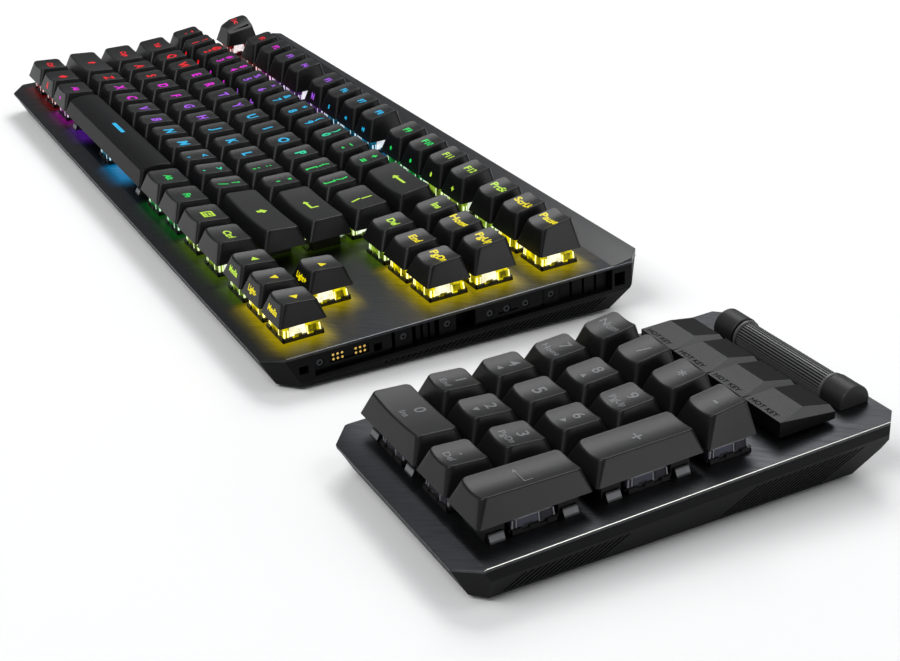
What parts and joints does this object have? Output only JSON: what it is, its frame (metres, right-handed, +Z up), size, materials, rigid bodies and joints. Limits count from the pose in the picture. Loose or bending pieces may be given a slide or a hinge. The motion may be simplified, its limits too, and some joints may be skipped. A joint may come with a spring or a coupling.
{
  "type": "mechanical keyboard",
  "caption": "Wireless mechanical keyboard with a brushed plate, lit switches, a docking number pad, macro keys and a ribbed volume roller.",
  "frame": {"origin": "centre of the overall footprint, at the feet, with the number pad undocked", "axes": "+X to the typist's right, +Y away from the typist, +Z up"},
  "size_m": [0.502, 0.1524, 0.0381],
  "materials": {
    "key_cap": "fine matt black",
    "deck_plate": "brushed, dark anodised",
    "rear_trim": "satin dark blue-grey",
    "case": "matt black",
    "circuit_board": "solder mask",
    "switch_base": "moulded",
    "switch_cover": "clear, lit from below",
    "stabilizer": "moulded",
    "steel": "bright",
    "screw": "blackened",
    "gold_contact": "gold plated",
    "battery": "foil wrapped",
    "rubber_foot": "soft",
    "hot_key": "fine grained",
    "roller": "ribbed",
    "roller_mount": "satin"
  },
  "bodies": {
    "main_unit": {"top_plate": "deck_plate", "rear_trim": "rear_trim", "base_shell": "case", "main_pcb": "circuit_board", "switch_bases": "switch_base", "switch_covers": "switch_cover", "stabilizers": "stabilizer", "stabilizer_wires": "steel", "dock_blocks": "case", "dock_contacts": "gold_contact", "case_screws": "screw", "battery": "battery", "usb_port": "steel", "rubber_feet": "rubber_foot"},
    "number_pad": {"pad_plate": "deck_plate", "pad_base": "case", "pad_pcb": "circuit_board", "pad_switch_bases": "switch_base", "pad_switch_covers": "switch_cover", "pad_stabilizers": "stabilizer", "pad_stabilizer_wires": "steel", "roller_mounts": "roller_mount", "dock_pegs": "case", "pad_screws": "screw", "pad_feet": "rubber_foot"},
    "esc_key": {"esc_key": "key_cap"},
    "f1_f4_keys": {"f1_f4_keys": "key_cap"},
    "f5_f8_keys": {"f5_f8_keys": "key_cap"},
    "f9_f12_keys": {"f9_f12_keys": "key_cap"},
    "print_cluster_keys": {"print_cluster_keys": "key_cap"},
    "number_keys": {"number_keys": "key_cap"},
    "backspace_key": {"backspace_key": "key_cap"},
    "tab_key": {"tab_key": "key_cap"},
    "upper_letter_keys": {"upper_letter_keys": "key_cap"},
    "backslash_key": {"backslash_key": "key_cap"},
    "caps_lock_key": {"caps_lock_key": "key_cap"},
    "home_letter_keys": {"home_letter_keys": "key_cap"},
    "enter_key": {"enter_key": "key_cap"},
    "left_shift_key": {"left_shift_key": "key_cap"},
    "lower_letter_keys": {"lower_letter_keys": "key_cap"},
    "right_shift_key": {"right_shift_key": "key_cap"},
    "left_modifier_keys": {"left_modifier_keys": "key_cap"},
    "space_bar": {"space_bar": "key_cap"},
    "right_modifier_keys": {"right_modifier_keys": "key_cap"},
    "navigation_keys": {"navigation_keys": "key_cap"},
    "arrow_keys": {"arrow_keys": "key_cap"},
    "pad_digit_keys": {"pad_digit_keys": "key_cap"},
    "pad_zero_key": {"pad_zero_key": "key_cap"},
    "pad_decimal_key": {"pad_decimal_key": "key_cap"},
    "pad_enter_key": {"pad_enter_key": "key_cap"},
    "pad_plus_key": {"pad_plus_key": "key_cap"},
    "pad_operator_keys": {"pad_operator_keys": "key_cap"},
    "hot_key_1": {"hot_key_1": "hot_key"},
    "hot_key_2": {"hot_key_2": "hot_key"},
    "hot_key_3": {"hot_key_3": "hot_key"},
    "hot_key_4": {"hot_key_4": "hot_key"},
    "volume_roller": {"volume_roller": "roller"},
    "leg_left": {"leg_left": "case"},
    "leg_right": {"leg_right": "case"},
    "mode_switch": {"mode_switch": "case"}
  },
  "joints": [
    {"name": "pad_dock_slide", "type": "slide", "parent": "main_unit", "child": "number_pad", "axis": [-1, 0, 0], "range_m": [0, 0.0494]},
    {"name": "esc_key_press", "type": "slide", "parent": "main_unit", "child": "esc_key", "axis": [0, -0.0523, 0.9986], "range_m": [-0.004, 0], "stiffness_N_per_m": 75, "springref_m": 0.004},
    {"name": "f1_f4_keys_press", "type": "slide", "parent": "main_unit", "child": "f1_f4_keys", "axis": [0, -0.0523, 0.9986], "range_m": [-0.004, 0], "stiffness_N_per_m": 300, "springref_m": 0.004},
    {"name": "f5_f8_keys_press", "type": "slide", "parent": "main_unit", "child": "f5_f8_keys", "axis": [0, -0.0523, 0.9986], "range_m": [-0.004, 0], "stiffness_N_per_m": 300, "springref_m": 0.004},
    {"name": "f9_f12_keys_press", "type": "slide", "parent": "main_unit", "child": "f9_f12_keys", "axis": [0, -0.0523, 0.9986], "range_m": [-0.004, 0], "stiffness_N_per_m": 300, "springref_m": 0.004},
    {"name": "print_cluster_keys_press", "type": "slide", "parent": "main_unit", "child": "print_cluster_keys", "axis": [0, -0.0523, 0.9986], "range_m": [-0.004, 0], "stiffness_N_per_m": 225, "springref_m": 0.004},
    {"name": "number_keys_press", "type": "slide", "parent": "main_unit", "child": "number_keys", "axis": [0, -0.0523, 0.9986], "range_m": [-0.004, 0], "stiffness_N_per_m": 975, "springref_m": 0.004},
    {"name": "backspace_key_press", "type": "slide", "parent": "main_unit", "child": "backspace_key", "axis": [0, -0.0523, 0.9986], "range_m": [-0.004, 0], "stiffness_N_per_m": 75, "springref_m": 0.004},
    {"name": "tab_key_press", "type": "slide", "parent": "main_unit", "child": "tab_key", "axis": [0, -0.0523, 0.9986], "range_m": [-0.004, 0], "stiffness_N_per_m": 75, "springref_m": 0.004},
    {"name": "upper_letter_keys_press", "type": "slide", "parent": "main_unit", "child": "upper_letter_keys", "axis": [0, -0.0523, 0.9986], "range_m": [-0.004, 0], "stiffness_N_per_m": 900, "springref_m": 0.004},
    {"name": "backslash_key_press", "type": "slide", "parent": "main_unit", "child": "backslash_key", "axis": [0, -0.0523, 0.9986], "range_m": [-0.004, 0], "stiffness_N_per_m": 75, "springref_m": 0.004},
    {"name": "caps_lock_key_press", "type": "slide", "parent": "main_unit", "child": "caps_lock_key", "axis": [0, -0.0523, 0.9986], "range_m": [-0.004, 0], "stiffness_N_per_m": 75, "springref_m": 0.004},
    {"name": "home_letter_keys_press", "type": "slide", "parent": "main_unit", "child": "home_letter_keys", "axis": [0, -0.0523, 0.9986], "range_m": [-0.004, 0], "stiffness_N_per_m": 825, "springref_m": 0.004},
    {"name": "enter_key_press", "type": "slide", "parent": "main_unit", "child": "enter_key", "axis": [0, -0.0523, 0.9986], "range_m": [-0.004, 0], "stiffness_N_per_m": 75, "springref_m": 0.004},
    {"name": "left_shift_key_press", "type": "slide", "parent": "main_unit", "child": "left_shift_key", "axis": [0, -0.0523, 0.9986], "range_m": [-0.004, 0], "stiffness_N_per_m": 75, "springref_m": 0.004},
    {"name": "lower_letter_keys_press", "type": "slide", "parent": "main_unit", "child": "lower_letter_keys", "axis": [0, -0.0523, 0.9986], "range_m": [-0.004, 0], "stiffness_N_per_m": 750, "springref_m": 0.004},
    {"name": "right_shift_key_press", "type": "slide", "parent": "main_unit", "child": "right_shift_key", "axis": [0, -0.0523, 0.9986], "range_m": [-0.004, 0], "stiffness_N_per_m": 75, "springref_m": 0.004},
    {"name": "left_modifier_keys_press", "type": "slide", "parent": "main_unit", "child": "left_modifier_keys", "axis": [0, -0.0523, 0.9986], "range_m": [-0.004, 0], "stiffness_N_per_m": 225, "springref_m": 0.004},
    {"name": "space_bar_press", "type": "slide", "parent": "main_unit", "child": "space_bar", "axis": [0, -0.0523, 0.9986], "range_m": [-0.004, 0], "stiffness_N_per_m": 75, "springref_m": 0.004},
    {"name": "right_modifier_keys_press", "type": "slide", "parent": "main_unit", "child": "right_modifier_keys", "axis": [0, -0.0523, 0.9986], "range_m": [-0.004, 0], "stiffness_N_per_m": 300, "springref_m": 0.004},
    {"name": "navigation_keys_press", "type": "slide", "parent": "main_unit", "child": "navigation_keys", "axis": [0, -0.0523, 0.9986], "range_m": [-0.004, 0], "stiffness_N_per_m": 450, "springref_m": 0.004},
    {"name": "arrow_keys_press", "type": "slide", "parent": "main_unit", "child": "arrow_keys", "axis": [0, -0.0523, 0.9986], "range_m": [-0.004, 0], "stiffness_N_per_m": 300, "springref_m": 0.004},
    {"name": "pad_digit_keys_press", "type": "slide", "parent": "number_pad", "child": "pad_digit_keys", "axis": [0, -0.0523, 0.9986], "range_m": [-0.004, 0], "stiffness_N_per_m": 675, "springref_m": 0.004},
    {"name": "pad_zero_key_press", "type": "slide", "parent": "number_pad", "child": "pad_zero_key", "axis": [0, -0.0523, 0.9986], "range_m": [-0.004, 0], "stiffness_N_per_m": 75, "springref_m": 0.004},
    {"name": "pad_decimal_key_press", "type": "slide", "parent": "number_pad", "child": "pad_decimal_key", "axis": [0, -0.0523, 0.9986], "range_m": [-0.004, 0], "stiffness_N_per_m": 75, "springref_m": 0.004},
    {"name": "pad_enter_key_press", "type": "slide", "parent": "number_pad", "child": "pad_enter_key", "axis": [0, -0.0523, 0.9986], "range_m": [-0.004, 0], "stiffness_N_per_m": 75, "springref_m": 0.004},
    {"name": "pad_plus_key_press", "type": "slide", "parent": "number_pad", "child": "pad_plus_key", "axis": [0, -0.0523, 0.9986], "range_m": [-0.004, 0], "stiffness_N_per_m": 75, "springref_m": 0.004},
    {"name": "pad_operator_keys_press", "type": "slide", "parent": "number_pad", "child": "pad_operator_keys", "axis": [0, -0.0523, 0.9986], "range_m": [-0.004, 0], "stiffness_N_per_m": 300, "springref_m": 0.004},
    {"name": "hot_key_1_press", "type": "slide", "parent": "number_pad", "child": "hot_key_1", "axis": [0, -0.0523, 0.9986], "range_m": [-0.001, 0], "stiffness_N_per_m": 400, "springref_m": 0.001},
    {"name": "hot_key_2_press", "type": "slide", "parent": "number_pad", "child": "hot_key_2", "axis": [0, -0.0523, 0.9986], "range_m": [-0.001, 0], "stiffness_N_per_m": 400, "springref_m": 0.001},
    {"name": "hot_key_3_press", "type": "slide", "parent": "number_pad", "child": "hot_key_3", "axis": [0, -0.0523, 0.9986], "range_m": [-0.001, 0], "stiffness_N_per_m": 400, "springref_m": 0.001},
    {"name": "hot_key_4_press", "type": "slide", "parent": "number_pad", "child": "hot_key_4", "axis": [0, -0.0523, 0.9986], "range_m": [-0.001, 0], "stiffness_N_per_m": 400, "springref_m": 0.001},
    {"name": "volume_roller_turn", "type": "hinge", "parent": "number_pad", "child": "volume_roller", "pos_m": [0.20638, 0.06791, 0.02227], "axis": [1, 0, 0], "continuous": true},
    {"name": "leg_left_fold", "type": "hinge", "parent": "main_unit", "child": "leg_left", "pos_m": [-0.20498, 0.04897, 0.0035], "axis": [1, 0, 0], "range_deg": [0, 95]},
    {"name": "leg_right_fold", "type": "hinge", "parent": "main_unit", "child": "leg_right", "pos_m": [0.06598, 0.04897, 0.0035], "axis": [1, 0, 0], "range_deg": [0, 95]},
    {"name": "mode_switch_slide", "type": "slide", "parent": "main_unit", "child": "mode_switch", "axis": [1, 0, 0], "range_m": [-0.0025, 0.0025]}
  ]
}
